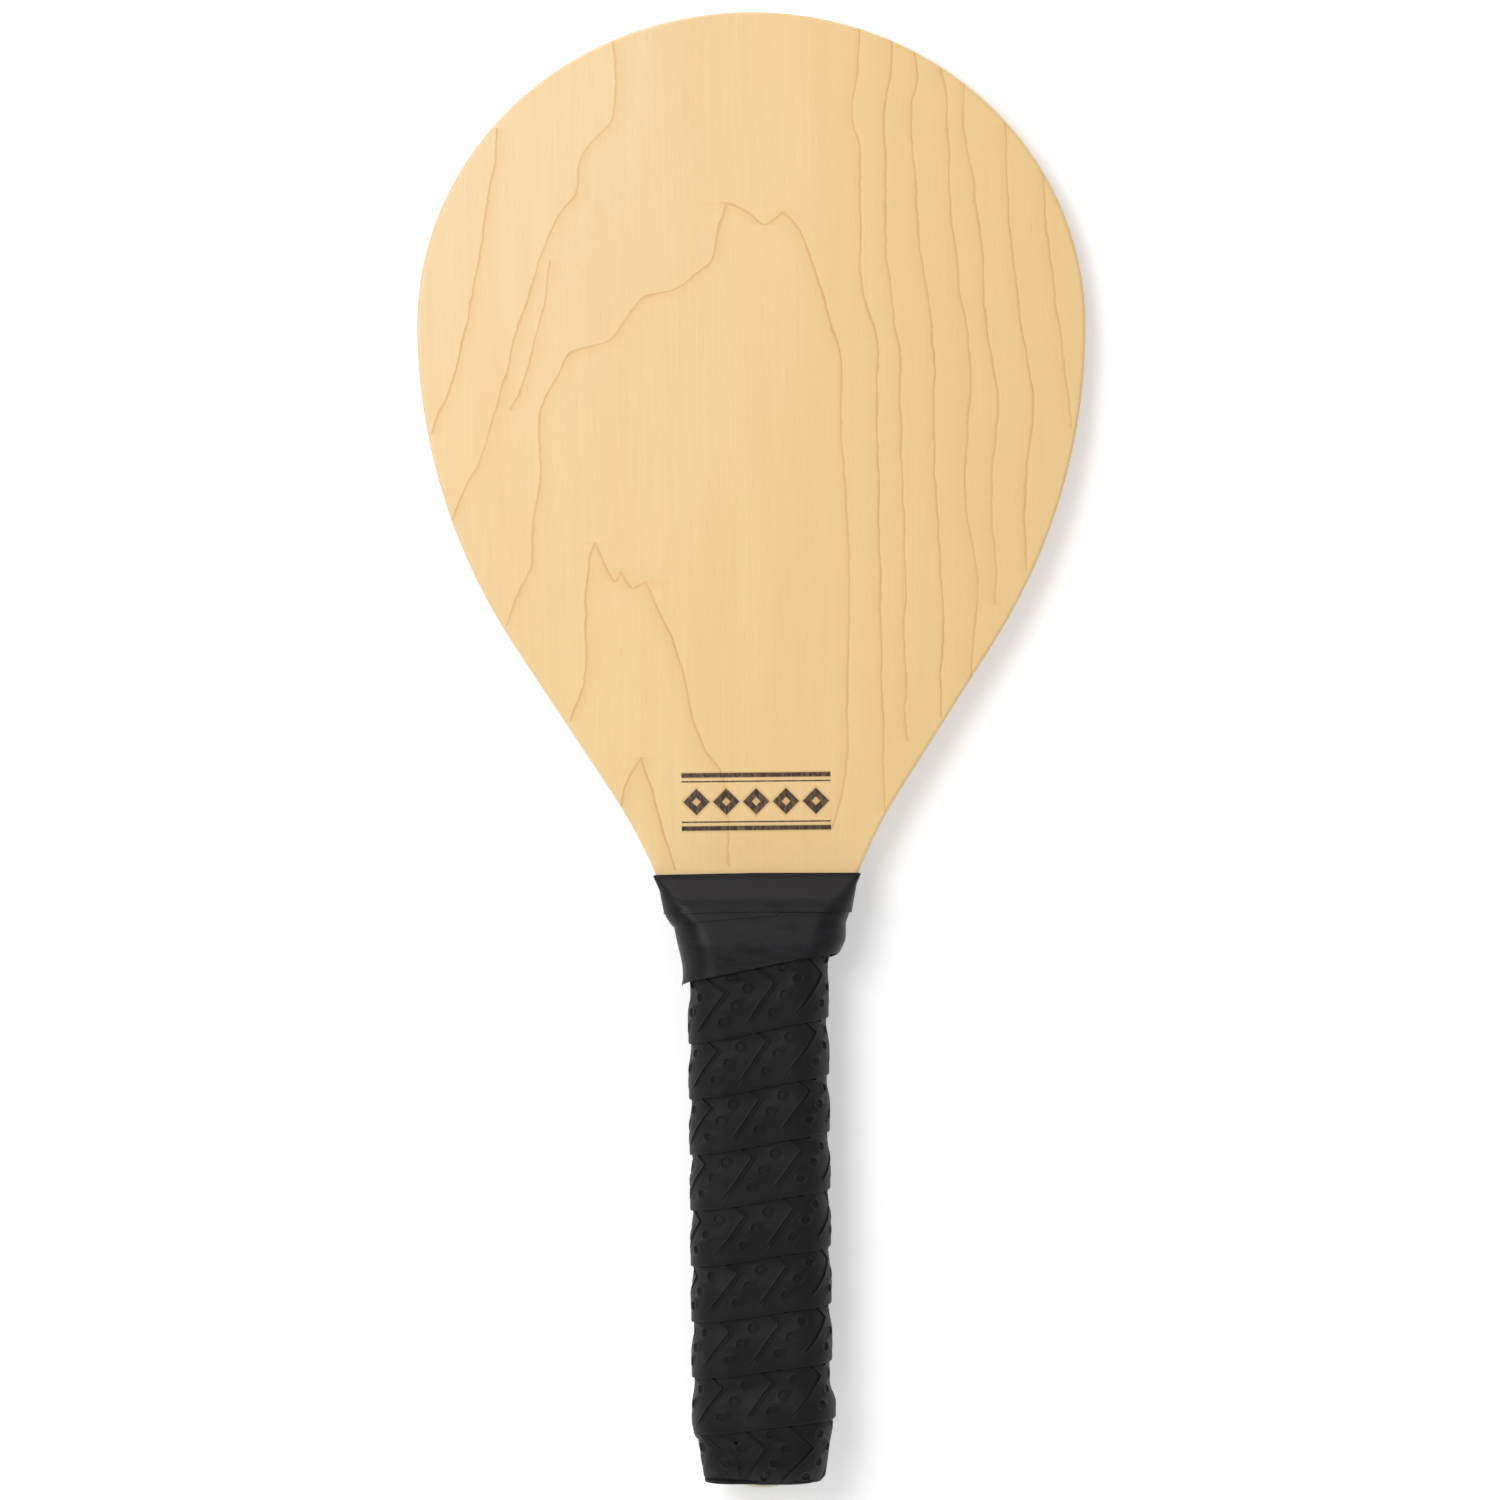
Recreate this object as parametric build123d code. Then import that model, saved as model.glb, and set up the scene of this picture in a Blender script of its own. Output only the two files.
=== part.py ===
from build123d import *
from build123d.topology import SkipClean
from math import cos, radians, sin
import os

# Wooden bat for the beach game, lying flat with its striking face up.
# Millimetres. +Y runs from the handle to the top of the blade, +X to the right, +Z up.
# Everything is built with the handle's end at y = 0 and the middle of the plywood at z = 0,
# then moved so that the origin is at the bottom centre of the whole bat.

# ---- blade outline
blade_width = 201.5        # across the widest line
head_rise = 94.3           # from the widest line to the top; the head is half an ellipse
flank_radius = 177.0       # sides just below the widest line
taper_angle = 33.0         # straight sides that run in to the neck, from the bat's axis
neck_radius = 150.0        # hollow where the taper starts to ease
shoulder_angle = 24.0      # sides beside the handle's upper end, from the bat's axis
shoulder_length = 19.1
throat_radius = 60.0       # hollow that runs out into the handle
edge_round = 1.0           # round-over along the blade's edge

# ---- plywood, front face first
face_ply = 0.6             # maple face veneers
core_ply = 1.66            # the five plies between them
ply_names = [
    "front_face_veneer", "front_crossband", "front_core_ply", "centre_ply",
    "back_core_ply", "back_crossband", "back_face_veneer",
]

# ---- handle: the plywood tang with one wooden scale glued to each side
handle_length = 147.7      # from the handle's end to the start of the throat
handle_width = 38.8
scale_thickness = 7.5
handle_corner = 9.5        # rounding of the handle's four long edges
ramp_length = 8.5          # slope at the upper end of each scale
ramp_edge = 0.4            # thickness of a scale at the top of its ramp

# ---- grip and tape
grip_strip = 0.9           # thickness of the grip strip
grip_reach = 16.8          # how far the grip climbs past the start of the throat
grip_reveal = 1.4          # handle end that shows below the grip
butt_layers = 3            # thicknesses of grip over the wood near the handle's end
band_low = 19.0            # that thickest stretch, from the grip's end
band_high = 26.0
band_slope = 2.5           # length over which the thickness steps down again
end_tuck = 1.1             # how far the grip's very end draws in past the handle's sides
film = 0.3                 # finishing tape, both layers
collar_reach = 37.2        # upper edge of the tape past the start of the throat
collar_lap = 1.6           # tape that lies on the bare blade above the scales
collar_height = 13.9       # upper turn of tape
tape_height = 14.5         # part of the lower turn that shows
tape_slack = 0.7           # the tape bridges the hollow neck and stands off the grip's sides
ramp_corner = 4.0          # rounding of the tape over the scales' ramps
lap_corner = 0.2           # and where it lies on the bare blade

blade_thickness = 2 * face_ply + core_ply * (len(ply_names) - 2)
half_blade = blade_thickness / 2
half_handle = half_blade + scale_thickness
half_width = handle_width / 2
grip_layers = 2 * grip_strip                    # two thicknesses where the turns overlap
butt_build_up = butt_layers * grip_strip
grip_top = handle_length + grip_reach
collar_top = handle_length + collar_reach
scale_top = collar_top - collar_lap
turn_line = collar_top - collar_height          # lower edge of the upper turn
tape_end = turn_line - tape_height


def blade_outline():
    """Flat outline of the plywood, tang included, with the handle's end at y = 0."""
    end = CenterArc((0, half_width), half_width, 270, 90)      # half-round end
    side = Line(end @ 1, (half_width, handle_length))
    throat = JernArc(side @ 1, side % 1, throat_radius, -shoulder_angle)
    shoulder = Line(throat @ 1, (throat @ 1) + (throat % 1) * shoulder_length)
    neck = JernArc(shoulder @ 1, shoulder % 1, neck_radius, shoulder_angle - taper_angle)
    lean = radians(taper_angle)
    flank_top = blade_width / 2 - flank_radius * (1 - cos(lean))
    run = (flank_top - (neck @ 1).X) / sin(lean)
    taper = Line(neck @ 1, (neck @ 1) + (neck % 1) * run)
    flank = JernArc(taper @ 1, taper % 1, flank_radius, taper_angle)
    head = EllipticalCenterArc((0, (flank @ 1).Y), blade_width / 2, head_rise, 0, arc_size=90)
    right = Curve() + [end, side, throat, shoulder, neck, taper, flank, head]
    return make_face(right + mirror(right, Plane.YZ))


outline = blade_outline()
overall_length = outline.bounding_box().max.Y


def between(low_y, high_y):
    """Sheet that cuts the outline down to a stretch of the bat's length."""
    return Pos(0, (low_y + high_y) / 2) * Rectangle(2 * blade_width, high_y - low_y)


def wood_half_width(y):
    """Half width of the plywood at a distance from the handle's end."""
    return (outline & between(y - 0.01, y + 0.01)).bounding_box().max.X


def handle_form():
    """Shaped handle: outline up to the scales' top, full depth, rounded, ramped."""
    block = extrude(outline & between(0, scale_top), half_handle, both=True)
    corner = min(handle_corner, half_handle - 0.5, half_width - 0.5)
    long_edges = [
        edge for edge in block.edges()
        if abs(abs(edge.center().Z) - half_handle) < 0.001 and edge.center().Y < scale_top - 0.001
    ]
    block = fillet(long_edges, corner)
    edge_z = half_blade + ramp_edge
    ramp_foot = scale_top - ramp_length
    wedge_side = Polyline(
        (0, scale_top + 1, edge_z), (0, scale_top, edge_z), (0, ramp_foot, half_handle),
        (0, ramp_foot, half_handle + 1), (0, scale_top + 1, half_handle + 1), close=True,
    )
    wedge = extrude(make_face(wedge_side), 2 * blade_width, dir=(1, 0, 0), both=True)
    return block - wedge - mirror(wedge, Plane.XY)


def blade_solid():
    """Plywood above the scales, with its edge rounded over on both faces."""
    head = extrude(outline & between(scale_top, overall_length + 1), half_blade, both=True)
    rim = [
        edge for edge in head.edges()
        if abs(abs(edge.center().Z) - half_blade) < 0.001 and edge.center().Y > scale_top + 0.001
    ]
    return fillet(rim, edge_round)


def with_bare_face(veneer):
    """The veneer's playing face ends at the tape's edge, as a face apart from what is covered."""
    bare = Pos(0, collar_top + overall_length) * Box(
        2 * blade_width, 2 * overall_length, 2 * blade_thickness
    )
    with SkipClean():
        return (veneer & bare) + (veneer - bare)


def slab(low_z, high_z):
    """Layer of the whole bat between two heights."""
    middle = Pos(0, overall_length / 2, (low_z + high_z) / 2)
    return middle * Box(2 * blade_width, 2 * overall_length, high_z - low_z)


def section(y, wide, deep, corner):
    """Rounded rectangle across the bat, from its half width and half depth."""
    across = Plane(origin=(0, y, 0), x_dir=(1, 0, 0), z_dir=(0, 1, 0))
    return across * RectangleRounded(2 * wide, 2 * deep, corner)


def grip_sections():
    """Grip from its end to its top: distance from the handle's end, build-up over the wood."""
    stations = [
        (grip_reveal, -end_tuck),
        (grip_reveal + grip_layers, grip_strip / 2 - end_tuck),
        (grip_reveal + band_low - 2 * band_slope, grip_layers - grip_strip / 2),
        (grip_reveal + band_low, butt_build_up),
        (grip_reveal + band_high, butt_build_up),
        (grip_reveal + band_high + band_slope, grip_layers),
        (handle_length, grip_layers),
        (grip_top, grip_layers),
    ]
    for y, build_up in stations:
        wide = half_width if y < handle_length else wood_half_width(y)
        yield section(y, wide + build_up, half_handle + build_up, handle_corner + build_up)


def between_knots(knots, y):
    """Straight-line value at y between (y, value) knots in rising order."""
    for (y0, value0), (y1, value1) in zip(knots, knots[1:]):
        if y <= y1:
            return value0 + (value1 - value0) * (y - y0) / (y1 - y0)


def tape_stations(low_y, high_y):
    """Inside of the tape, bottom to top: distance, half width, half depth, corner."""
    ramp_foot = scale_top - ramp_length
    heel = scale_top + ramp_length * ramp_edge / (scale_thickness - ramp_edge)  # ramp meets blade
    over_grip = half_handle + grip_layers
    depths = [
        (tape_end, over_grip), (grip_top, over_grip), (ramp_foot, half_handle),
        (heel, half_blade), (collar_top, half_blade),
    ]
    corners = [
        (tape_end, handle_corner), (grip_top, handle_corner), (ramp_foot, ramp_corner),
        (heel, lap_corner), (collar_top, lap_corner),
    ]
    low_side = wood_half_width(tape_end) + grip_layers + tape_slack
    sides = [
        (tape_end, low_side), (heel, wood_half_width(heel)),
        (collar_top, wood_half_width(collar_top)),
    ]
    heights = {low_y, high_y} | {y for y, depth in depths if low_y < y < high_y}
    return [
        (y, between_knots(sides, y), between_knots(depths, y), between_knots(corners, y))
        for y in sorted(heights)
    ]


def tape_turn(stations):
    """One turn of tape, a film thick, trimmed to the wood and grip that it covers."""
    inside = loft([section(*station) for station in stations], ruled=True)
    outside = loft(
        [section(y, wide + film, deep + film, corner + film) for y, wide, deep, corner in stations],
        ruled=True,
    )
    return outside - inside - handle - blade - overgrip


handle = handle_form()
blade = blade_solid()
overgrip = loft(list(grip_sections()), ruled=True) - handle - blade
parts = {}

top_z = half_blade
for name in ply_names:
    thickness = face_ply if name.endswith("veneer") else core_ply
    layer = slab(top_z - thickness, top_z)
    parts[name] = (blade & layer) + (handle & layer)
    if name.endswith("veneer"):
        parts[name] = with_bare_face(parts[name])
    top_z -= thickness

parts["front_handle_scale"] = handle & slab(half_blade, half_handle)
parts["back_handle_scale"] = handle & slab(-half_handle, -half_blade)
parts["overgrip"] = overgrip
parts["grip_end_tape"] = tape_turn(tape_stations(tape_end, turn_line))
parts["collar_tape"] = tape_turn(tape_stations(turn_line, collar_top))

to_frame = Pos(0, -overall_length / 2, half_handle + butt_build_up)
os.makedirs("parts", exist_ok=True)
for name, shape in parts.items():
    export_step(to_frame * shape, f"parts/{name}.step")
    print(name, round(shape.volume), "mm3,", len(shape.solids()), "solid")
print("overall", round(overall_length, 1), "x", blade_width, "mm")
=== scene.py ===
import bpy
import bmesh
import math
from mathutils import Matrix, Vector


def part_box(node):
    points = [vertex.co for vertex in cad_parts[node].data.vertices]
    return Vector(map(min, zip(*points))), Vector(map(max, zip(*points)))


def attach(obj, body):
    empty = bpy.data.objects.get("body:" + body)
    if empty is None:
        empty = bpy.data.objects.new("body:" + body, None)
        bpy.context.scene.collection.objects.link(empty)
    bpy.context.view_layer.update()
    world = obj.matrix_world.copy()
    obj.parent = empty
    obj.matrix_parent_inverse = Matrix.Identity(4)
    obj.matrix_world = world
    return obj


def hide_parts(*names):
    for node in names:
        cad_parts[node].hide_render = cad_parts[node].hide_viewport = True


# Wooden beach paddle: plywood blade, wound black grip, taped collar.
# Lengths are written in millimetres; toMetres turns them into Blender's units.

toMetres = 0.001
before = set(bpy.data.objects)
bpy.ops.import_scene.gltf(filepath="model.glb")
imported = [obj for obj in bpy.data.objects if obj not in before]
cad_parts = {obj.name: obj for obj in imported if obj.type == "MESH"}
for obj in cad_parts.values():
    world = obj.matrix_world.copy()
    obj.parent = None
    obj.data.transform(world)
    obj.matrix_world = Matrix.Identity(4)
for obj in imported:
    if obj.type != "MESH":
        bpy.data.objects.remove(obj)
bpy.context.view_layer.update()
print("frame loaded:", len(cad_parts), "nodes")


def makeColour(red, green, blue):
    # a screen colour, 0 to 255, as the linear colour that a shader wants
    def linear(value):
        value = value / 255
        return value / 12.92 if value <= 0.04045 else ((value + 0.055) / 1.055) ** 2.4
    return (linear(red), linear(green), linear(blue), 1.0)


def smoothStep(low, high, value):
    share = min(max((value - low) / (high - low), 0.0), 1.0)
    return share * share * (3 - 2 * share)


def alongPoints(points, place):
    # value at a place on a line of (place, value) points in rising order
    if place <= points[0][0]:
        return points[0][1]
    for (place0, value0), (place1, value1) in zip(points, points[1:]):
        if place <= place1:
            return value0 + (value1 - value0) * (place - place0) / (place1 - place0)
    return points[-1][1]


# small helpers that every material is built with
def addNode(tree, kind, **settings):
    node = tree.nodes.new(kind)
    for name, value in settings.items():
        setattr(node, name, value)
    return node


def plug(tree, source, target):
    # source is a socket or a plain value
    if isinstance(source, bpy.types.NodeSocket):
        tree.links.new(source, target)
    else:
        target.default_value = source


def doMath(tree, operation, first, second=0.0, third=0.0):
    node = addNode(tree, "ShaderNodeMath", operation=operation)
    for value, socket in zip((first, second, third), node.inputs):
        plug(tree, value, socket)
    return node.outputs[0]


def mixColours(tree, share, first, second):
    node = addNode(tree, "ShaderNodeMix", data_type="RGBA", clamp_factor=True)
    plug(tree, share, node.inputs[0])
    plug(tree, first, node.inputs[6])
    plug(tree, second, node.inputs[7])
    return node.outputs[2]


def remap(tree, value, fromLow, fromHigh, toLow=0.0, toHigh=1.0, smooth=False):
    node = addNode(tree, "ShaderNodeMapRange")
    node.interpolation_type = "SMOOTHSTEP" if smooth else "LINEAR"
    for source, socket in zip((value, fromLow, fromHigh, toLow, toHigh), node.inputs):
        plug(tree, source, socket)
    return node.outputs[0]


def stretchedNoise(tree, scale, size, detail=2.0, roughness=0.5, offset=(0, 0, 0)):
    # noise on object coordinates in millimetres, stretched by a scale on each axis
    coords = addNode(tree, "ShaderNodeTexCoord")
    mapping = addNode(tree, "ShaderNodeMapping")
    mapping.inputs["Location"].default_value = offset
    mapping.inputs["Scale"].default_value = [1000 * axis for axis in scale]
    tree.links.new(coords.outputs["Object"], mapping.inputs["Vector"])
    noise = addNode(tree, "ShaderNodeTexNoise")
    noise.inputs["Scale"].default_value = size
    noise.inputs["Detail"].default_value = detail
    noise.inputs["Roughness"].default_value = roughness
    tree.links.new(mapping.outputs[0], noise.inputs["Vector"])
    return noise.outputs["Fac"]


def newMaterial(name):
    material = bpy.data.materials.new(name)
    material.use_nodes = True
    tree = material.node_tree
    tree.nodes.clear()
    output = addNode(tree, "ShaderNodeOutputMaterial")
    shader = addNode(tree, "ShaderNodeBsdfPrincipled")
    tree.links.new(shader.outputs[0], output.inputs["Surface"])
    return material, tree, shader


def addBump(tree, shader, height, distance, strength=1.0):
    bump = addNode(tree, "ShaderNodeBump")
    bump.inputs["Strength"].default_value = strength
    bump.inputs["Distance"].default_value = distance * toMetres
    plug(tree, height, bump.inputs["Height"])
    tree.links.new(bump.outputs[0], shader.inputs["Normal"])


def newGroup(name, inputs, outputs):
    group = bpy.data.node_groups.new(name, "ShaderNodeTree")
    for socket in inputs:
        group.interface.new_socket(socket, in_out="INPUT", socket_type="NodeSocketFloat")
    for socket in outputs:
        group.interface.new_socket(socket, in_out="OUTPUT", socket_type="NodeSocketFloat")
    inside = addNode(group, "NodeGroupInput")
    outside = addNode(group, "NodeGroupOutput")
    return group, inside, outside


def placeGroup(tree, group, **values):
    node = addNode(tree, "ShaderNodeGroup", node_tree=group)
    for name, value in values.items():
        plug(tree, value, node.inputs[name.replace("_", " ")])
    return node


# colours of the wood, a painted sheen and a painted shade tone of the maple, and the gloss of its
# lacquer
woodLook = {
    "maple": makeColour(253, 222, 161),
    "maplePaintedSheen": makeColour(251, 223, 172),     # painted sheen: upper left, paler, where the lacquer reflects the light
    "maplePaintedShade": makeColour(248, 212, 148),     # painted shade: right side, deeper, away from the light
    "grainLine": makeColour(226, 174, 106),
    "grainFade": makeColour(243, 201, 136),
    "poplar": makeColour(214, 211, 176),
    "plyAlong": makeColour(232, 198, 146),
    "plyAcross": makeColour(205, 164, 110),
    "burnt": makeColour(48, 27, 18),
    "burntHalo": makeColour(205, 150, 92),
    "gloss": 0.36,
}

# late-wood lines of the front veneer: the side that fades, then (y, x) from the top down
grainLines = [
    ("left", [(162, 10), (158, 14), (149, 18), (136, 22), (128, 24), (116, 27), (97, 27), (79, 28),
              (54, 29), (15, 28), (-7, 27), (-24, 23)]),
    ("left", [(165, -7), (163, -2), (158, 4)]),
    ("right", [(162, 10), (158, 4)]),
    ("right", [(165, -7), (156, -10), (148, -12), (144, -16), (139, -23), (137, -32), (131, -37),
               (124, -43), (122, -50), (120, -55), (114, -58), (108, -62), (100, -64), (82, -64),
               (72, -66), (56, -67), (49, -71), (38, -75)]),
    ("left", [(217, 34), (203, 33), (191, 31), (182, 33), (157, 33), (138, 34), (118, 38),
              (70, 38), (41, 38), (4, 39), (-19, 39)]),
    ("left", [(214, 43), (205, 43), (193, 41), (157, 41), (131, 43), (118, 45), (82, 45),
              (48, 46), (34, 45), (2, 46)]),
    ("left", [(210, 50), (203, 51), (193, 49), (153, 51), (118, 55), (82, 55), (44, 57), (9, 56)]),
    ("left", [(205, 58), (194, 60), (167, 60), (140, 63), (118, 66), (82, 64), (48, 67), (19, 65)]),
    ("left", [(200, 65), (190, 65), (167, 68), (118, 72), (103, 74), (79, 72), (43, 73)]),
    ("left", [(188, 77), (151, 79), (118, 83), (104, 85), (75, 82), (53, 82)]),
    ("left", [(174, 88), (151, 90), (118, 94), (96, 96)]),
    ("right", [(188, -76), (176, -77), (161, -80), (129, -86), (113, -90), (96, -97)]),
    ("right", [(214, -41), (205, -40), (191, -41), (186, -45), (178, -51), (169, -52), (161, -58),
               (144, -65), (129, -70), (112, -75), (92, -81), (77, -88), (68, -92)]),
    ("right", [(148, -60), (133, -63), (118, -67), (103, -73)]),
    ("right", [(63, -48), (58, -50), (37, -51), (20, -52), (9, -56)]),
    ("left", [(63, -48), (54, -44), (51, -42)]),
    ("right", [(54, -40), (51, -42)]),
    ("left", [(54, -40), (49, -37)]),
    ("right", [(51, -33), (49, -37)]),
    ("left", [(51, -33), (48, -31), (41, -28), (34, -25), (17, -20), (4, -17), (-9, -10),
              (-35, -8)]),
    ("right", [(-2, -34), (-8, -38), (-17, -41)]),
    ("left", [(-2, -34), (-9, -32), (-17, -30), (-36, -25)]),
]


def makeGrainLineGroup():
    # a line that is crisp on one side and fades away on the other
    group, inside, outside = newGroup(
        "crisp grain line", ["Across", "Line", "Slope", "Side", "Along", "Top", "Bottom"],
        ["Line", "Fade"],
    )
    away = doMath(group, "SUBTRACT", inside.outputs["Across"], inside.outputs["Line"])
    away = doMath(group, "MULTIPLY", away, inside.outputs["Side"])
    stretch = doMath(group, "MULTIPLY_ADD", inside.outputs["Slope"], inside.outputs["Slope"], 1.0)
    away = doMath(group, "DIVIDE", away, doMath(group, "SQRT", stretch))
    crisp = remap(group, away, -0.3, 0.0, smooth=True)
    soft = remap(group, away, 0.0, 0.75, 1.0, 0.0, smooth=True)
    fade = doMath(group, "POWER", remap(group, away, 0.0, 6.0, 1.0, 0.0), 2.0)
    topEnd = doMath(group, "SUBTRACT", inside.outputs["Top"], inside.outputs["Along"])
    lowEnd = doMath(group, "SUBTRACT", inside.outputs["Along"], inside.outputs["Bottom"])
    span = doMath(
        group, "MULTIPLY", remap(group, topEnd, -0.5, 0.2, smooth=True),
        remap(group, lowEnd, -0.4, 0.4, smooth=True),
    )
    crisp = doMath(group, "MULTIPLY", crisp, span)
    plug(group, doMath(group, "MULTIPLY", crisp, soft), outside.inputs["Line"])
    plug(group, doMath(group, "MULTIPLY", crisp, fade), outside.inputs["Fade"])
    return group


def makeFibreGroup():
    # fine vertical fibre, short pores and broad soft bands of tone
    group, inside, outside = newGroup("wood fibre", [], ["Fibre", "Pores", "Bands"])
    fine = stretchedNoise(group, (1.0, 0.012, 1.0), 2.2, detail=4.0, roughness=0.6)
    plug(group, remap(group, fine, 0.25, 0.75), outside.inputs["Fibre"])
    pores = stretchedNoise(group, (1.0, 0.06, 1.0), 2.6, detail=1.0, offset=(40, 10, 0))
    plug(group, remap(group, pores, 0.66, 0.78), outside.inputs["Pores"])
    bands = stretchedNoise(group, (0.05, 0.006, 0.05), 1.0, detail=2.0, offset=(7, 3, 0))
    plug(group, remap(group, bands, 0.3, 0.7), outside.inputs["Bands"])
    return group


grainLineGroup = makeGrainLineGroup()
fibreGroup = makeFibreGroup()
faceBottom, faceTop, faceSide = -60.0, 222.5, 101.0     # reach of the grain lines


def positionInMillimetres(tree):
    coords = addNode(tree, "ShaderNodeTexCoord")
    split = addNode(tree, "ShaderNodeSeparateXYZ")
    tree.links.new(coords.outputs["Object"], split.inputs[0])
    return [doMath(tree, "MULTIPLY", socket, 1000.0) for socket in split.outputs]


def lineCurve(tree, along, points):
    # x of a grain line as a curve of y
    curve = addNode(tree, "ShaderNodeFloatCurve")
    knots = curve.mapping.curves[0].points
    ordered = sorted(points)
    while len(knots) < len(ordered):
        knots.new(0.5, 0.5)
    for knot, (y, x) in zip(knots, ordered):
        knot.location = ((y - faceBottom) / (faceTop - faceBottom), (x + faceSide) / (2 * faceSide))
        knot.handle_type = "AUTO_CLAMPED"
    curve.mapping.update()
    plug(tree, remap(tree, along, faceBottom, faceTop), curve.inputs["Value"])
    return remap(tree, curve.outputs[0], 0.0, 1.0, -faceSide, faceSide)


def addGrain(tree, across, along, mirrored):
    # all the lines of a veneer, as one line mask and one fade mask
    wander = stretchedNoise(tree, (0.11, 0.05, 0.11), 1.0, detail=4.0, roughness=0.62)
    across = doMath(tree, "ADD", across, remap(tree, wander, 0.25, 0.75, -0.9, 0.9))
    if mirrored:
        across = doMath(tree, "MULTIPLY", across, -1.0)
    higher = doMath(tree, "ADD", along, 1.5)
    lines, fades = 0.0, 0.0
    for side, points in grainLines:
        place = lineCurve(tree, along, points)
        rise = doMath(tree, "SUBTRACT", lineCurve(tree, higher, points), place)
        line = placeGroup(
            tree, grainLineGroup, Across=across, Line=place, Slope=doMath(tree, "DIVIDE", rise, 1.5),
            Side=-1.0 if side == "left" else 1.0, Along=along,
            Top=float(points[0][0]), Bottom=float(points[-1][0]),
        )
        lines = doMath(tree, "MAXIMUM", line.outputs["Line"], lines)
        fades = doMath(tree, "MAXIMUM", line.outputs["Fade"], fades)
    return lines, fades


ornament = {
    "middle": -15.5,        # y of the row of diamonds
    "reach": 22.5,          # half its length
    "pitch": 9.0,           # from one diamond to the next
    "diamond": 4.0,         # half a diamond's diagonal
    "heart": 1.3,           # bare heart of each diamond
    "ruleOffset": 8.0,      # from the middle to the lines above and below
    "ruleWeight": 0.7,
    "innerRule": 1.9,       # a fine line this far inside each of them
}


def addOrnament(tree, across, along):
    # a burnt row of diamonds between two lines
    fromMiddle = doMath(tree, "ABSOLUTE", doMath(tree, "SUBTRACT", along, ornament["middle"]))
    cell = doMath(tree, "PINGPONG", across, ornament["pitch"] / 2)
    diagonal = doMath(tree, "ADD", cell, fromMiddle)
    body = remap(tree, diagonal, ornament["diamond"] - 0.15, ornament["diamond"] + 0.15, 1.0, 0.0)
    heart = remap(tree, diagonal, ornament["heart"] - 0.15, ornament["heart"] + 0.15)
    diamonds = doMath(tree, "MULTIPLY", body, heart)
    fromRule = doMath(
        tree, "ABSOLUTE", doMath(tree, "SUBTRACT", fromMiddle, ornament["ruleOffset"]))
    rules = remap(
        tree, fromRule, ornament["ruleWeight"] - 0.12, ornament["ruleWeight"] + 0.12, 1.0, 0.0)
    innerPlace = ornament["ruleOffset"] - ornament["innerRule"]
    inner = doMath(tree, "ABSOLUTE", doMath(tree, "SUBTRACT", fromMiddle, innerPlace))
    inner = remap(tree, inner, 0.12, 0.34, 1.0, 0.0)
    marks = doMath(tree, "MAXIMUM", doMath(tree, "MAXIMUM", diamonds, rules), inner)
    reach = doMath(tree, "ABSOLUTE", across)
    reach = remap(tree, reach, ornament["reach"] - 0.1, ornament["reach"] + 0.1, 1.0, 0.0)
    marks = doMath(tree, "MULTIPLY", marks, reach)
    patchy = remap(tree, stretchedNoise(tree, (1, 0.3, 1), 1.6, detail=3.0), 0.3, 0.6, 0.8, 1.0)
    halo = remap(tree, diagonal, ornament["diamond"], ornament["diamond"] + 1.3, 0.5, 0.0)
    halo = doMath(tree, "MAXIMUM", halo, remap(tree, fromRule, 0.4, 1.5, 0.5, 0.0))
    halo = doMath(tree, "MULTIPLY", halo, reach)
    return doMath(tree, "MULTIPLY", marks, patchy), halo


def makeVeneer(name, front):
    material, tree, shader = newMaterial(name)
    across, along, _ = positionInMillimetres(tree)
    fibre = placeGroup(tree, fibreGroup)
    lines, fades = addGrain(tree, across, along, mirrored=not front)
    sideShare = remap(tree, across, -70.0, 90.0, smooth=True)
    topShare = remap(tree, along, 0.0, 200.0, smooth=True)
    # painted sheen: the maple turns paler towards the upper left, where the lacquer reflects the light
    paintedSheenShare = doMath(tree, "MULTIPLY", doMath(tree, "SUBTRACT", 1.0, sideShare), topShare)
    colour = mixColours(tree, paintedSheenShare, woodLook["maple"], woodLook["maplePaintedSheen"])
    # painted shade: the maple deepens towards the right side, away from the light
    paintedShadeShare = doMath(tree, "MULTIPLY", sideShare, 0.75)
    colour = mixColours(tree, paintedShadeShare, colour, woodLook["maplePaintedShade"])
    bandShare = doMath(tree, "MULTIPLY", fibre.outputs["Bands"], 0.32)
    colour = mixColours(tree, bandShare, colour, woodLook["grainFade"])
    fadeShare = doMath(tree, "MULTIPLY", fades, 0.6)
    colour = mixColours(tree, fadeShare, colour, woodLook["grainFade"])
    patches = remap(
        tree, stretchedNoise(tree, (0.06, 0.03, 0.06), 1.0, detail=2.0), 0.3, 0.7, 0.35, 0.95)
    lineShare = doMath(tree, "MULTIPLY", lines, patches)
    colour = mixColours(tree, lineShare, colour, woodLook["grainLine"])
    fibreShare = doMath(tree, "MULTIPLY", fibre.outputs["Fibre"], 0.16)
    colour = mixColours(tree, fibreShare, colour, woodLook["grainLine"])
    poreShare = doMath(tree, "MULTIPLY", fibre.outputs["Pores"], 0.25)
    colour = mixColours(tree, poreShare, colour, woodLook["grainLine"])
    if front:
        marks, halo = addOrnament(tree, across, along)
        colour = mixColours(tree, halo, colour, woodLook["burntHalo"])
        colour = mixColours(tree, marks, colour, woodLook["burnt"])
    tree.links.new(colour, shader.inputs["Base Color"])
    rough = remap(tree, fibre.outputs["Fibre"], 0.0, 1.0, woodLook["gloss"], woodLook["gloss"] + 0.1)
    tree.links.new(rough, shader.inputs["Roughness"])
    shader.inputs["Coat Weight"].default_value = 0.25
    shader.inputs["Coat Roughness"].default_value = 0.22
    addBump(tree, shader, fibre.outputs["Fibre"], 0.03, 0.5)
    return material


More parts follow.
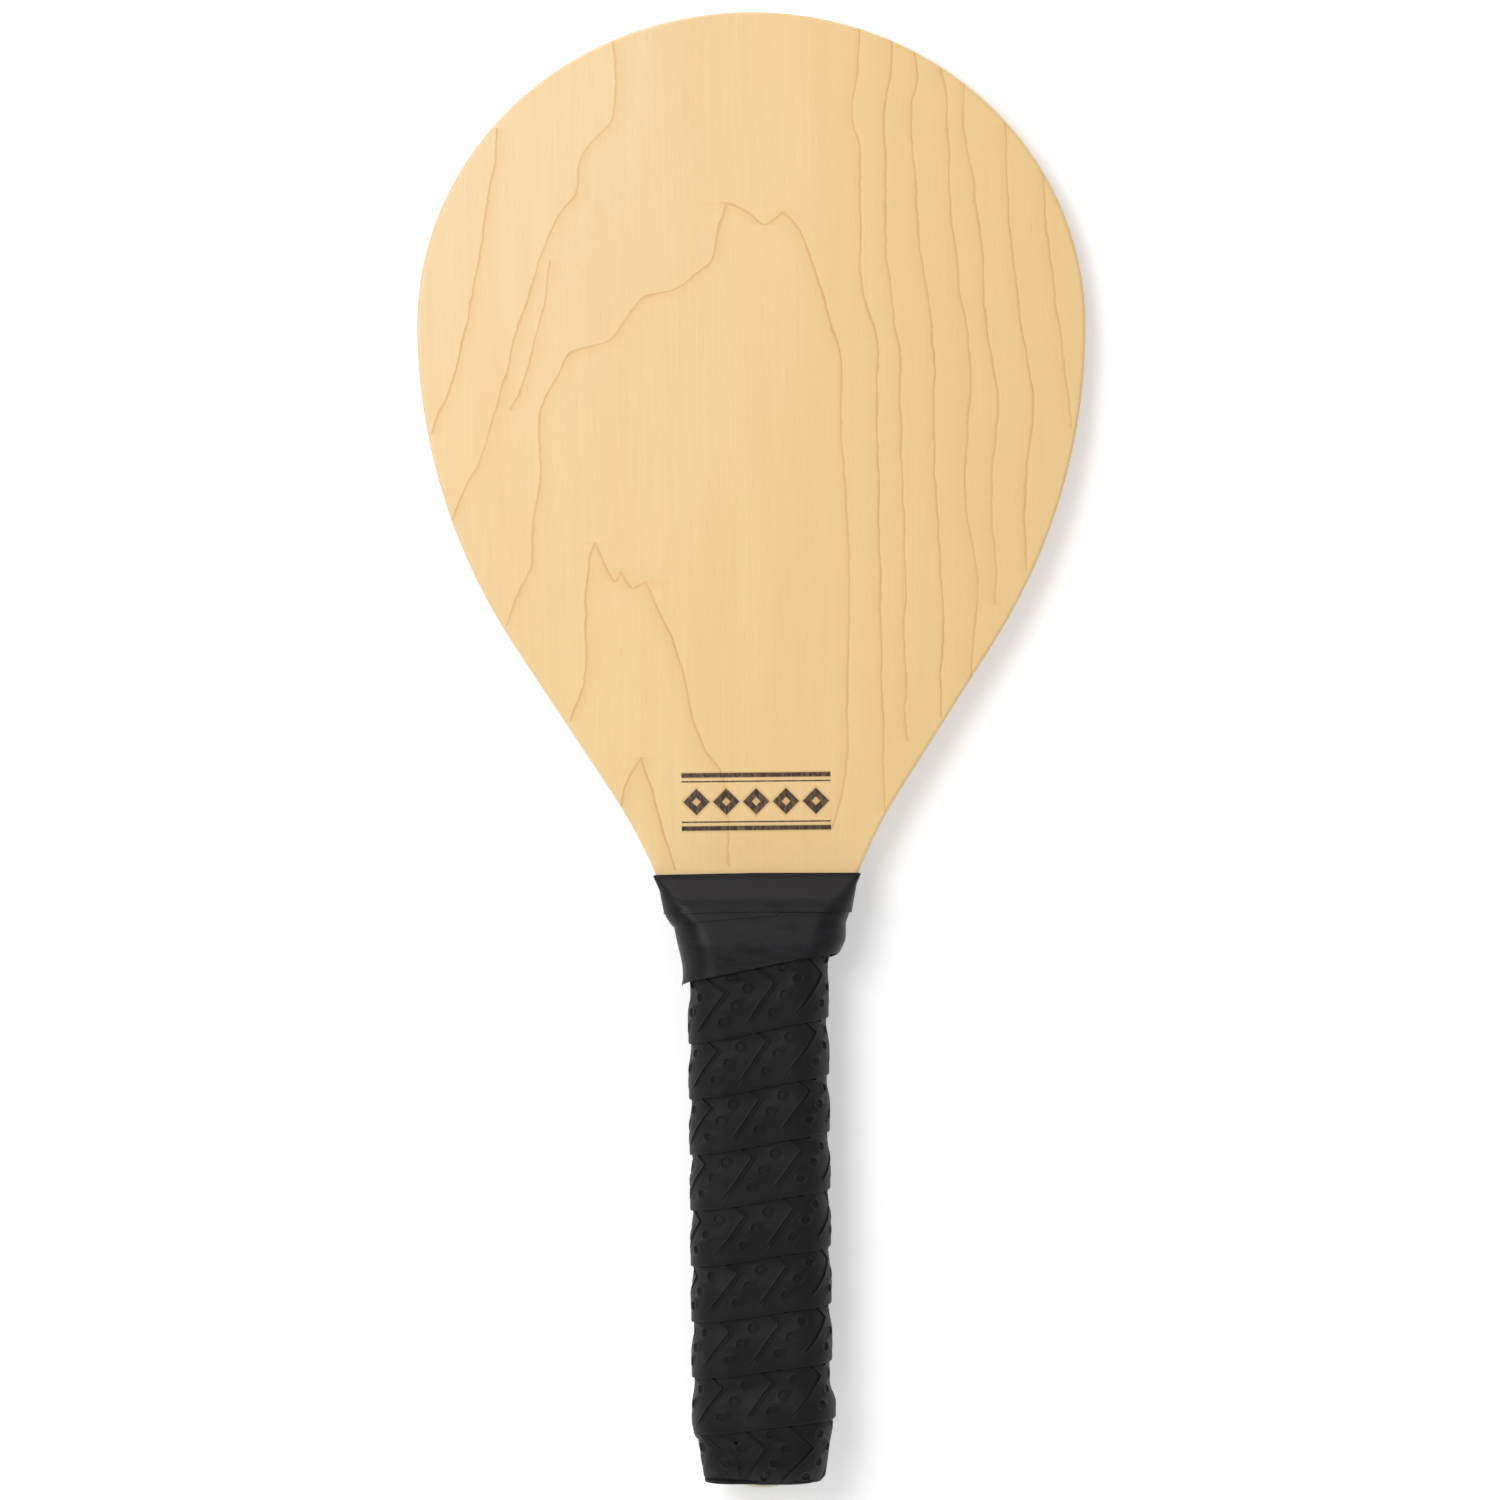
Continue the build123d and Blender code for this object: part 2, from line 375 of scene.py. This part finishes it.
def makePlyEdge(name, tone, endGrain):
    # edge of a core ply: long fibre, or the open ends of the fibre
    material, tree, shader = newMaterial(name)
    stretch = (2.2, 2.2, 2.2) if endGrain else (0.12, 0.12, 3.0)
    streaks = stretchedNoise(tree, stretch, 1.3, detail=4.0, roughness=0.65)
    shade = remap(tree, streaks, 0.3, 0.75)
    colour = mixColours(
        tree, doMath(tree, "MULTIPLY", shade, 0.55), woodLook[tone], makeColour(168, 122, 74))
    tree.links.new(colour, shader.inputs["Base Color"])
    tree.links.new(remap(tree, shade, 0, 1, 0.42, 0.6), shader.inputs["Roughness"])
    shader.inputs["Coat Weight"].default_value = 0.2
    addBump(tree, shader, shade, 0.05, 0.6)
    return material


def makePoplar(name):
    material, tree, shader = newMaterial(name)
    fibre = placeGroup(tree, fibreGroup)
    colour = mixColours(
        tree, doMath(tree, "MULTIPLY", fibre.outputs["Fibre"], 0.5),
        woodLook["poplar"], makeColour(190, 176, 128))
    tree.links.new(colour, shader.inputs["Base Color"])
    tree.links.new(remap(tree, fibre.outputs["Fibre"], 0, 1, 0.55, 0.75), shader.inputs["Roughness"])
    addBump(tree, shader, fibre.outputs["Fibre"], 0.04, 0.6)
    return material


def finishWood():
    plyAlong = makePlyEdge("ply edge, long fibre", "plyAlong", endGrain=False)
    plyAcross = makePlyEdge("ply edge, end fibre", "plyAcross", endGrain=True)
    poplar = makePoplar("poplar")
    finishes = {
        "front_face_veneer": makeVeneer("maple veneer, front", front=True),
        "back_face_veneer": makeVeneer("maple veneer, back", front=False),
        "front_crossband": plyAcross,
        "front_core_ply": plyAlong,
        "centre_ply": plyAcross,
        "back_core_ply": plyAlong,
        "back_crossband": plyAcross,
        "front_handle_scale": poplar,
        "back_handle_scale": poplar,
    }
    for node, material in finishes.items():
        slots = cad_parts[node].data.materials
        slots.clear()
        slots.append(material)


finishWood()
print("wood finished")


# the wooden handle that grip and tape follow; heights are from the handle's end
handle = {
    "end": -222.5,          # y of the handle's end
    "middle": 14.95,        # z of the plywood's middle
    "wide": 19.4,           # half width of the wooden handle
    "deep": 12.25,
    "corner": 9.5,
    "throat": 147.7,        # height where it starts to widen
    "throatRadius": 60.0,
    "throatRise": 24.4,     # length of that hollow, up to the straight shoulder
    "shoulder": 24.0,       # the shoulder's angle from the paddle's axis
}
girth = {"flatAcross": 9.9, "flatDown": 2.75, "arc": 16.34}     # quarter by quarter
girthLength = 4 * (girth["flatAcross"] + girth["flatDown"] + girth["arc"])


def aroundHandle(turn, wide, deep, corner):
    # (x, z) on a rounded section; turn 0 is the middle of the front, 0.25 the right side
    run = (turn % 1.0) * girthLength
    side = 1.0
    if run > girthLength / 2:
        run, side = girthLength - run, -1.0
    across, down = wide - corner, deep - corner
    if run < girth["flatAcross"]:
        return side * across * run / girth["flatAcross"], deep
    run -= girth["flatAcross"]
    if run < girth["arc"]:
        angle = math.pi / 2 * run / girth["arc"]
        return side * (across + corner * math.sin(angle)), down + corner * math.cos(angle)
    run -= girth["arc"]
    if run < 2 * girth["flatDown"]:
        return side * wide, down * (1 - run / girth["flatDown"])
    run -= 2 * girth["flatDown"]
    if run < girth["arc"]:
        angle = math.pi / 2 * run / girth["arc"]
        return side * (across + corner * math.cos(angle)), -down - corner * math.sin(angle)
    run -= girth["arc"]
    return side * across * (1 - run / girth["flatAcross"]), -deep


def throatFlare(height):
    # how much wider the wood is above the throat, on each side
    above = max(height - handle["throat"], 0.0)
    rise = min(above, handle["throatRise"])
    flare = handle["throatRadius"] - math.sqrt(handle["throatRadius"] ** 2 - rise ** 2)
    return flare + (above - rise) * math.tan(math.radians(handle["shoulder"]))


# overgrip: one embossed strip, wound up the handle
strip = {
    "width": 27.2,
    "thickness": 0.9,
    "repeat": 14.95,        # pattern's repeat along the strip
    "phase": 3.15,
    "pitch": 17.0,          # rise of one turn
    "firstTurn": -1.02,
    "lastTurn": 8.42,
    "foldRadius": 2.0,      # lower end, tucked in over the handle's end
    "foldHeight": 3.7,
    "foldFlatness": 0.6,
    "lowest": -0.6,
    "gather": 161.0,        # above this height the strip is gathered in under the tape
    "gathered": 0.4,        # share of its height that is left there
    "layerGap": 0.02,       # between two turns that lie on each other
    "stepBelow": 2.0,       # a turn rides down over the edge of the one under it
    "stepAbove": 5.0,
}


def lowerEdge(turn):
    # height of the strip's lower edge; it leans more on the first turns
    lean = alongPoints([(1.0, -1.85), (8.0, -0.18)], turn)
    wound = 1.9 + strip["pitch"] * turn + lean * math.sin(2 * math.pi * turn)
    wound += 0.74 * math.sin(4 * math.pi * turn)
    leaving = smoothStep(0.2, 0.85, turn)       # the first turn runs along the handle's end
    return strip["lowest"] * (1 - leaving) + wound * leaving


def layersBelow(turn, height):
    # thickness of the turns that this one lies on
    layers = 0.0
    for back in (1, 2, 3):
        before = turn - back
        started = smoothStep(strip["firstTurn"] - 0.05, strip["firstTurn"] + 0.02, before)
        if started == 0.0:
            break
        top = lowerEdge(before) + strip["width"]
        layers += started * (1 - smoothStep(top - strip["stepBelow"], top + strip["stepAbove"], height))
    return layers * (strip["thickness"] + strip["layerGap"])


def woodDraw(height):
    # how far the grip draws in towards the handle's end, across and in depth
    rest = max((19.0 - height) / 16.0, 0.0)
    across = -2.6 * rest ** 0.9
    inward = max(handle["corner"] - height, 0.0)
    down = math.sqrt(max(handle["corner"] ** 2 - inward ** 2, 0.0)) - handle["corner"]
    return max(across, -3.0), max(down, -2.2)


def onGrip(turn, height, lift):
    # a point on the wound strip: lift is its height over the strip's underside
    build = layersBelow(turn, height) + lift
    fold, foldHeight = strip["foldRadius"], strip["foldHeight"]
    if height < foldHeight:
        angle = (foldHeight - height) / fold
        inward = max(angle - math.pi / 2, 0.0) * fold
        angle = min(angle, math.pi / 2)
        place = foldHeight - (fold + build) * strip["foldFlatness"] * math.sin(angle)
        build = (fold + build) * math.cos(angle) - fold - inward
        drawAcross, drawDown = woodDraw(foldHeight)
    else:
        place = height
        drawAcross, drawDown = woodDraw(height)
    wide = handle["wide"] + drawAcross + build + throatFlare(height)
    deep = handle["deep"] + drawDown + build
    corner = max(handle["corner"] + build, 1.0)
    x, z = aroundHandle(turn, wide, deep, corner)
    return Vector((x, handle["end"] + place, handle["middle"] + z))


def embossColumns():
    # places of the cell's columns along the strip: groove, dots and plain ground
    groove = [-0.92, -0.64, -0.35, 0.0, 0.35, 0.64, 0.92]
    dots = [3.7, 5.05, 6.4, 7.75, 9.1]
    plain = [1.85, 2.8, 10.1, 11.15, 12.2, 13.2]
    return sorted(groove + dots + plain)


embossRows = [
    -13.6, -10.0, -6.45, -5.37, -4.85, -4.3, -3.2, -2.15, -1.07, 0.0, 1.07, 2.15, 3.2, 4.3, 4.85,
    5.37, 6.45, 7.5, 8.6, 9.7, 10.75, 12.3, 13.1, 13.5, 13.6,
]       # across the strip, upper edge to lower edge


def grooveDepth(fromGroove, across):
    # rounded groove with a slight lip, running out at its ends
    ends = 1 - smoothStep(9.2, 10.4, abs(across))
    profile = alongPoints([(0.0, -0.42), (0.35, -0.34), (0.64, 0.13), (0.92, 0.0)], abs(fromGroove))
    return profile * ends


def edgeDrop(across):
    # rounded upper and lower edges
    inset = strip["width"] / 2 - abs(across)
    return -0.22 * (1 - min(inset / 0.5, 1.0)) ** 2


def embossedCell():
    # one repeat of the pattern, flat: x along the strip, y across it
    columns = embossColumns()
    columns = columns + [columns[0] + strip["repeat"]]
    bm = bmesh.new()
    bmesh.ops.create_grid(
        bm, x_segments=len(columns) - 1, y_segments=len(embossRows) - 1, size=1.0)
    for vert in bm.verts:
        column = round((vert.co.x + 1) / 2 * (len(columns) - 1))
        row = round((vert.co.y + 1) / 2 * (len(embossRows) - 1))
        across = embossRows[row]
        along = columns[column]
        fromGroove = along if along < 7 else along - strip["repeat"]
        vert.co = (along - abs(across), across, edgeDrop(across) + grooveDepth(fromGroove, across))
    for dotRow in (-4.3, 0.0, 4.3, 8.6):
        sinkDot(bm, 6.4 - abs(dotRow), dotRow)
    return bm


def sinkDot(bm, middle, dotRow):
    # turns a block of faces into a round dimple with a raised rim
    block = []
    for face in bm.faces:
        spot = face.calc_center_median()
        if abs(spot.y - dotRow) < 2.15 and abs(spot.x + abs(spot.y) - middle - abs(dotRow)) < 2.7:
            block.append(face)
    dot = bmesh.ops.dissolve_faces(bm, faces=block, use_verts=False)["region"][0]
    for radius, level in ((1.85, 0.0), (1.6, 0.15), (1.32, 0.02), (1.08, -0.42)):
        bmesh.ops.inset_individual(bm, faces=[dot], thickness=0.02)
        for vert in dot.verts:
            out = Vector((vert.co.x - middle, vert.co.y - dotRow)).normalized() * radius
            vert.co = (middle + out.x, dotRow + out.y, level)


def flatStrip():
    # the whole strip, flat, with its edges turned down and its underside closed
    bm = embossedCell()
    cell = bm.verts[:] + bm.edges[:] + bm.faces[:]
    turnLength = math.hypot(girthLength, strip["pitch"])
    first = math.floor((strip["firstTurn"] * turnLength - strip["phase"]) / strip["repeat"])
    last = math.ceil((strip["lastTurn"] * turnLength - strip["phase"]) / strip["repeat"])
    start = first * strip["repeat"] + strip["phase"]
    for step in range(1, last - first):
        copy = bmesh.ops.duplicate(bm, geom=cell)["geom"]
        moved = [item for item in copy if isinstance(item, bmesh.types.BMVert)]
        bmesh.ops.translate(bm, verts=moved, vec=(step * strip["repeat"], 0, 0))
    bmesh.ops.remove_doubles(bm, verts=bm.verts[:], dist=0.001)
    bmesh.ops.translate(bm, verts=bm.verts[:], vec=(start, 0, 0))
    rim = [edge for edge in bm.edges if edge.is_boundary]
    wall = bmesh.ops.extrude_edge_only(bm, edges=rim)["geom"]
    under = [item for item in wall if isinstance(item, bmesh.types.BMVert)]
    for vert in under:
        vert.co.z = -0.85 * strip["thickness"]
    half = strip["width"] / 2 - 0.01
    below = [
        item for item in wall
        if isinstance(item, bmesh.types.BMEdge) and all(abs(v.co.y) > half for v in item.verts)
    ]
    bridge = bmesh.ops.bridge_loops(bm, edges=below)
    across = [
        edge for face in bridge["faces"] for edge in face.edges
        if abs(edge.verts[0].co.y - edge.verts[1].co.y) > half
    ]
    bmesh.ops.subdivide_edges(bm, edges=list(set(across)), cuts=3)
    bmesh.ops.holes_fill(bm, edges=[edge for edge in bm.edges if edge.is_boundary], sides=0)
    return bm, turnLength


def windStrip():
    bm, turnLength = flatStrip()
    lean = strip["pitch"] / turnLength
    thickness = strip["thickness"]
    for vert in bm.verts:
        along, across, level = vert.co
        up = strip["width"] / 2 - across
        turn = along / turnLength
        height = lowerEdge(turn) + up * 0.99
        turn -= lean * up / girthLength
        if height > strip["gather"]:
            height = strip["gather"] + (height - strip["gather"]) * strip["gathered"]
        vert.co = onGrip(turn, height, thickness + level) * toMetres
    return bm


def addObject(name, bm, material, node, smoothAngle=38):
    bmesh.ops.recalc_face_normals(bm, faces=bm.faces[:])
    for edge in bm.edges:
        sharp = edge.is_manifold and edge.calc_face_angle(0.0) > math.radians(smoothAngle)
        edge.smooth = not sharp
    for face in bm.faces:
        face.smooth = True
    mesh = bpy.data.meshes.new(name)
    bm.to_mesh(mesh)
    bm.free()
    piece = bpy.data.objects.new(name, mesh)
    bpy.context.scene.collection.objects.link(piece)
    mesh.materials.append(material)
    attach(piece, "root")
    if node:
        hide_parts(node)
    return piece


def makeGripLeather():
    material, tree, shader = newMaterial("matt black grip")
    grain = stretchedNoise(tree, (1, 1, 1), 3.0, detail=5.0, roughness=0.7)
    dust = stretchedNoise(tree, (0.06, 0.06, 0.06), 1.0, detail=3.0, offset=(3, 8, 1))
    colour = mixColours(
        tree, remap(tree, dust, 0.35, 0.7), makeColour(17, 17, 18), makeColour(25, 25, 26))
    tree.links.new(colour, shader.inputs["Base Color"])
    tree.links.new(remap(tree, grain, 0.3, 0.7, 0.5, 0.66), shader.inputs["Roughness"])
    shader.inputs["Specular IOR Level"].default_value = 0.2
    shader.inputs["Sheen Weight"].default_value = 0.06
    addBump(tree, shader, grain, 0.05, 0.7)
    return material


gripLeather = makeGripLeather()
grip = addObject("overgrip_strip", windStrip(), gripLeather, "overgrip")
print("grip wound:", len(grip.data.polygons), "faces")


# the strip's end, folded in over the end of the handle
foldedEnd = {
    "rings": 6,
    "segments": 96,
    "rim": (17.6, 11.3),        # half width and half depth where it leaves the strip
    "mouth": (6.9, 7.9),        # round the wood that shows
    "corner": 9.0,
    "height": 2.1,              # of its edges, from the handle's end
    "swell": 0.5,               # how far it bulges between them
    "pleat": 0.35,
    "pleats": 11,
    "thickness": 0.7,
}


def foldGripEnd():
    bm = bmesh.new()
    bmesh.ops.create_circle(bm, cap_ends=False, segments=foldedEnd["segments"], radius=1.0)
    ring = sorted(bm.verts, key=lambda vert: math.atan2(vert.co.x, vert.co.y) % (2 * math.pi))
    turns = [index / len(ring) for index in range(len(ring))]
    rings = [ring]
    edges = bm.edges[:]
    for step in range(1, foldedEnd["rings"]):
        made = bmesh.ops.extrude_edge_only(bm, edges=edges)["geom"]
        verts = [item for item in made if isinstance(item, bmesh.types.BMVert)]
        edges = [
            item for item in made
            if isinstance(item, bmesh.types.BMEdge) and all(v in verts for v in item.verts)
        ]
        verts.sort(key=lambda vert: math.atan2(vert.co.x, vert.co.y) % (2 * math.pi))
        rings.append(verts)
    wide, deep = foldedEnd["rim"]
    mouthWide, mouthDeep = foldedEnd["mouth"]
    for step, verts in enumerate(rings):
        share = step / (len(rings) - 1)
        for turn, vert in zip(turns, verts):
            x, z = aroundHandle(turn, wide, deep, foldedEnd["corner"])
            angle = 2 * math.pi * turn
            mouthX, mouthZ = mouthWide * math.sin(angle), mouthDeep * math.cos(angle)
            pleat = abs(math.sin(angle * foldedEnd["pleats"] / 2)) * foldedEnd["pleat"]
            bulge = (foldedEnd["swell"] - pleat) * math.sin(math.pi * share)
            height = foldedEnd["height"] + bulge
            vert.co = Vector((
                x + (mouthX - x) * share, handle["end"] + height,
                handle["middle"] + z + (mouthZ - z) * share,
            )) * toMetres
    bmesh.ops.recalc_face_normals(bm, faces=bm.faces[:])
    bmesh.ops.solidify(bm, geom=bm.faces[:], thickness=foldedEnd["thickness"] * toMetres)
    return addObject("grip_folded_end", bm, gripLeather, None)


foldGripEnd()
print("grip end folded")


# finishing tape: a lower turn, a lap that shows on the left, and an upper turn
tape = {
    "film": 0.3,
    "segments": 160,
    "lowerLift": 0.15,      # how far each turn stands off what it lies on
    "lapLift": 0.5,
    "upperLift": 0.85,
    "underEdge": [(0.0, 177.0), (1.0, 177.0)],      # upper edge of the turns beneath
    "topEdge": [(0.0, 185.5), (0.25, 184.7), (0.5, 185.3), (0.75, 184.6), (1.0, 185.5)],
    "turnLine": [(0.0, 174.0), (0.25, 173.2), (0.5, 171.6), (0.75, 173.2), (1.0, 174.0)],
    "lapLine": [
        (0.0, 172.5), (0.026, 172.6), (0.03, 176.0), (0.5, 176.0), (0.62, 171.5), (0.75, 169.4),
        (0.9, 170.9), (1.0, 172.5),
    ],
    "endEdge": [
        (0.0, 157.2), (0.08, 159.6), (0.16, 160.9), (0.25, 161.2), (0.4, 157.5), (0.5, 155.0),
        (0.7, 151.8), (0.76, 151.6), (0.9, 154.6), (1.0, 157.2),
    ],
}
tapeSides = {               # half widths, and the heights between which each one is reached
    "left": {
        "waist": 22.5, "flick": 0.4,                # over the grip; the loose lower corner
        "standOff": 2.45, "neck": (155.5, 170.5),   # bridges the hollow of the neck
        "step": 2.4, "stepReach": (168.5, 173.5),   # out to the upper turn
    },
    "right": {
        "waist": 22.8, "flick": 0.0,
        "standOff": 3.7, "neck": (156.5, 166.5),
        "step": 1.2, "stepReach": (169.5, 174.0),
    },
    "flickReach": (151.5, 154.5),
    "upperFoot": 174.0,     # from here the upper turn widens evenly
    "upperFlare": 0.19,
    "overWood": 0.25,       # least distance from the wood
}


def tapeHalfWidth(side, height):
    form = tapeSides[side]
    wide = form["waist"] + form["flick"] * (1 - smoothStep(*tapeSides["flickReach"], height))
    wide += form["standOff"] * smoothStep(*form["neck"], height)
    wide += form["step"] * smoothStep(*form["stepReach"], height)
    wide += tapeSides["upperFlare"] * max(height - tapeSides["upperFoot"], 0.0)
    return max(wide, handle["wide"] + throatFlare(height) + tapeSides["overWood"])


def onTape(turn, height, lift):
    x, z = aroundHandle(turn, 1.0, 1.0, 0.5)
    wide = tapeHalfWidth("right" if x > 0 else "left", height) + lift
    deep = alongPoints([
        (150.0, 14.45), (164.0, 14.4), (170.0, 13.5), (174.0, 12.85), (176.0, 12.3), (178.0, 11.1),
        (181.0, 8.3), (183.0, 6.4), (184.2, 5.4), (186.0, 5.05),
    ], height) + lift
    corner = alongPoints([
        (150.0, 11.0), (166.0, 10.6), (175.0, 8.5), (180.0, 4.5), (184.0, 1.6), (186.0, 1.2),
    ], height)
    x, z = aroundHandle(turn, wide, deep, min(corner, deep - 0.05))
    crease = 0.05 * math.sin(height * 2.1 + 9 * x / 30) * smoothStep(172, 176, height)
    crease *= 1 - smoothStep(180, 184, height)
    z += math.copysign(crease, z)
    return Vector((x, handle["end"] + height, handle["middle"] + z))


def wrapTape(low, high, rows, lift):
    # a band of tape between two edge lines
    bm = bmesh.new()
    bmesh.ops.create_circle(bm, cap_ends=False, segments=tape["segments"], radius=1.0)

    def byTurn(vert):
        return math.atan2(vert.co.x, vert.co.y) % (2 * math.pi)
    rings = [sorted(bm.verts, key=byTurn)]
    edges = bm.edges[:]
    for step in range(rows):
        made = bmesh.ops.extrude_edge_only(bm, edges=edges)["geom"]
        verts = [item for item in made if isinstance(item, bmesh.types.BMVert)]
        edges = [
            item for item in made
            if isinstance(item, bmesh.types.BMEdge) and all(v in verts for v in item.verts)
        ]
        rings.append(sorted(verts, key=byTurn))
    for step, verts in enumerate(rings):
        share = step / rows
        for index, vert in enumerate(verts):
            turn = index / len(verts)
            bottom, top = alongPoints(low, turn), alongPoints(high, turn)
            vert.co = onTape(turn, bottom + (top - bottom) * share, lift) * toMetres
    bmesh.ops.recalc_face_normals(bm, faces=bm.faces[:])
    bmesh.ops.solidify(bm, geom=bm.faces[:], thickness=tape["film"] * toMetres)
    return bm


def makeTapeVinyl():
    material, tree, shader = newMaterial("black finishing tape")
    wear = stretchedNoise(tree, (0.15, 0.5, 0.15), 1.0, detail=4.0, roughness=0.6)
    fine = stretchedNoise(tree, (1, 1, 1), 4.0, detail=3.0)
    colour = mixColours(
        tree, remap(tree, wear, 0.3, 0.7), makeColour(22, 21, 23), makeColour(32, 31, 34))
    tree.links.new(colour, shader.inputs["Base Color"])
    tree.links.new(remap(tree, wear, 0.3, 0.7, 0.36, 0.48), shader.inputs["Roughness"])
    shader.inputs["Specular IOR Level"].default_value = 0.2
    addBump(tree, shader, doMath(tree, "ADD", fine, doMath(tree, "MULTIPLY", wear, 2.0)), 0.05, 0.5)
    return material


tapeVinyl = makeTapeVinyl()
lowerTurn = wrapTape(tape["endEdge"], tape["underEdge"], 16, tape["lowerLift"])
addObject("finishing_tape_lower", lowerTurn, tapeVinyl, "grip_end_tape")
lap = wrapTape(tape["lapLine"], tape["underEdge"], 8, tape["lapLift"])
addObject("finishing_tape_lap", lap, tapeVinyl, None)
upperTurn = wrapTape(tape["turnLine"], tape["topEdge"], 20, tape["upperLift"])
addObject("finishing_tape_upper", upperTurn, tapeVinyl, "collar_tape")
print("tape wrapped")


table = {
    "reach": 1.6,           # metres, from its middle to each side
    "slope": 0.0335,        # it leans a little, to meet the blade's far end as well as the grip
    "height": 0.0028,       # under the origin
    "white": 0.9,
    "glow": 0.36,           # added for the camera only, so that it looks white
}


def makeFloor():
    bm = bmesh.new()
    bmesh.ops.create_grid(bm, x_segments=1, y_segments=1, size=table["reach"])
    for vert in bm.verts:
        vert.co.z = table["height"] + table["slope"] * vert.co.y
    mesh = bpy.data.meshes.new("white_table")
    bm.to_mesh(mesh)
    bm.free()
    floor = bpy.data.objects.new("white_table", mesh)
    bpy.context.scene.collection.objects.link(floor)
    material = bpy.data.materials.new("white table")
    material.use_nodes = True
    tree = material.node_tree
    tree.nodes.clear()
    output = addNode(tree, "ShaderNodeOutputMaterial")
    diffuse = addNode(tree, "ShaderNodeBsdfDiffuse")
    diffuse.inputs["Color"].default_value = [table["white"]] * 3 + [1]
    glow = addNode(tree, "ShaderNodeEmission")
    ray = addNode(tree, "ShaderNodeLightPath")
    seen = doMath(tree, "MAXIMUM", ray.outputs["Is Camera Ray"], ray.outputs["Is Glossy Ray"])
    seen = doMath(tree, "MAXIMUM", seen, ray.outputs["Is Transmission Ray"])
    plug(tree, doMath(tree, "MULTIPLY", seen, table["glow"]), glow.inputs["Strength"])
    both = addNode(tree, "ShaderNodeAddShader")
    tree.links.new(diffuse.outputs[0], both.inputs[0])
    tree.links.new(glow.outputs[0], both.inputs[1])
    tree.links.new(both.outputs[0], output.inputs["Surface"])
    mesh.materials.append(material)


def makeLight(name, place, aim, size, power):
    lamp = bpy.data.lights.new(name, "AREA")
    lamp.shape = "DISK"
    lamp.size = size
    lamp.energy = power
    holder = bpy.data.objects.new(name, lamp)
    holder.location = place
    holder.rotation_euler = (Vector(aim) - Vector(place)).to_track_quat("-Z", "Y").to_euler()
    bpy.context.scene.collection.objects.link(holder)


studio = {
    "horizon": 0.95,        # brightness of the surroundings, level and overhead
    "zenith": 0.3,
    "keyPower": 12.0,
    "skimPower": 5.0,       # low light from beyond the blade, catches the tape's ramp
    "skimPlace": (-0.3, 1.7, 0.5),
    "rimPower": 5.0,        # low light from the handle's end, catches the strip's lower edges
    "rimPlace": (-0.2, -1.7, 0.5),
    "keyPlace": (-0.6, 0.4, 1.4),
    "lampSize": 0.8,
    "lowAim": (0, -0.1, 0),         # where the two low lights point
    "cameraHeight": 1.75,
    "view": 0.452,          # width seen at the blade's face
    "roll": -0.6,
    "sideways": -0.0017,
}


def makeStudio():
    world = bpy.data.worlds.new("studio")
    bpy.context.scene.world = world
    world.use_nodes = True
    tree = world.node_tree
    tree.nodes.clear()
    output = addNode(tree, "ShaderNodeOutputWorld")
    sky = addNode(tree, "ShaderNodeBackground")
    aim = addNode(tree, "ShaderNodeTexCoord")
    split = addNode(tree, "ShaderNodeSeparateXYZ")
    tree.links.new(aim.outputs["Generated"], split.inputs[0])
    shade = remap(tree, split.outputs["Z"], 0.0, 1.0, studio["horizon"], studio["zenith"])
    tree.links.new(shade, sky.inputs["Strength"])
    tree.links.new(sky.outputs[0], output.inputs["Surface"])
    size, lowAim = studio["lampSize"], studio["lowAim"]
    makeLight("key", studio["keyPlace"], (0, 0, 0), size, studio["keyPower"])
    makeLight("skim", studio["skimPlace"], lowAim, size, studio["skimPower"])
    makeLight("rim", studio["rimPlace"], lowAim, size, studio["rimPower"])
    lens = bpy.data.cameras.new("camera")
    distance = studio["cameraHeight"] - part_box("front_face_veneer")[1].z
    lens.lens = lens.sensor_width * distance / studio["view"]
    camera = bpy.data.objects.new("camera", lens)
    camera.location = (studio["sideways"], 0.0, studio["cameraHeight"])
    camera.rotation_euler = (0, 0, math.radians(studio["roll"]))
    bpy.context.scene.collection.objects.link(camera)
    bpy.context.scene.camera = camera
    bpy.context.scene.view_settings.view_transform = "Standard"


makeFloor()
makeStudio()
print("studio set")
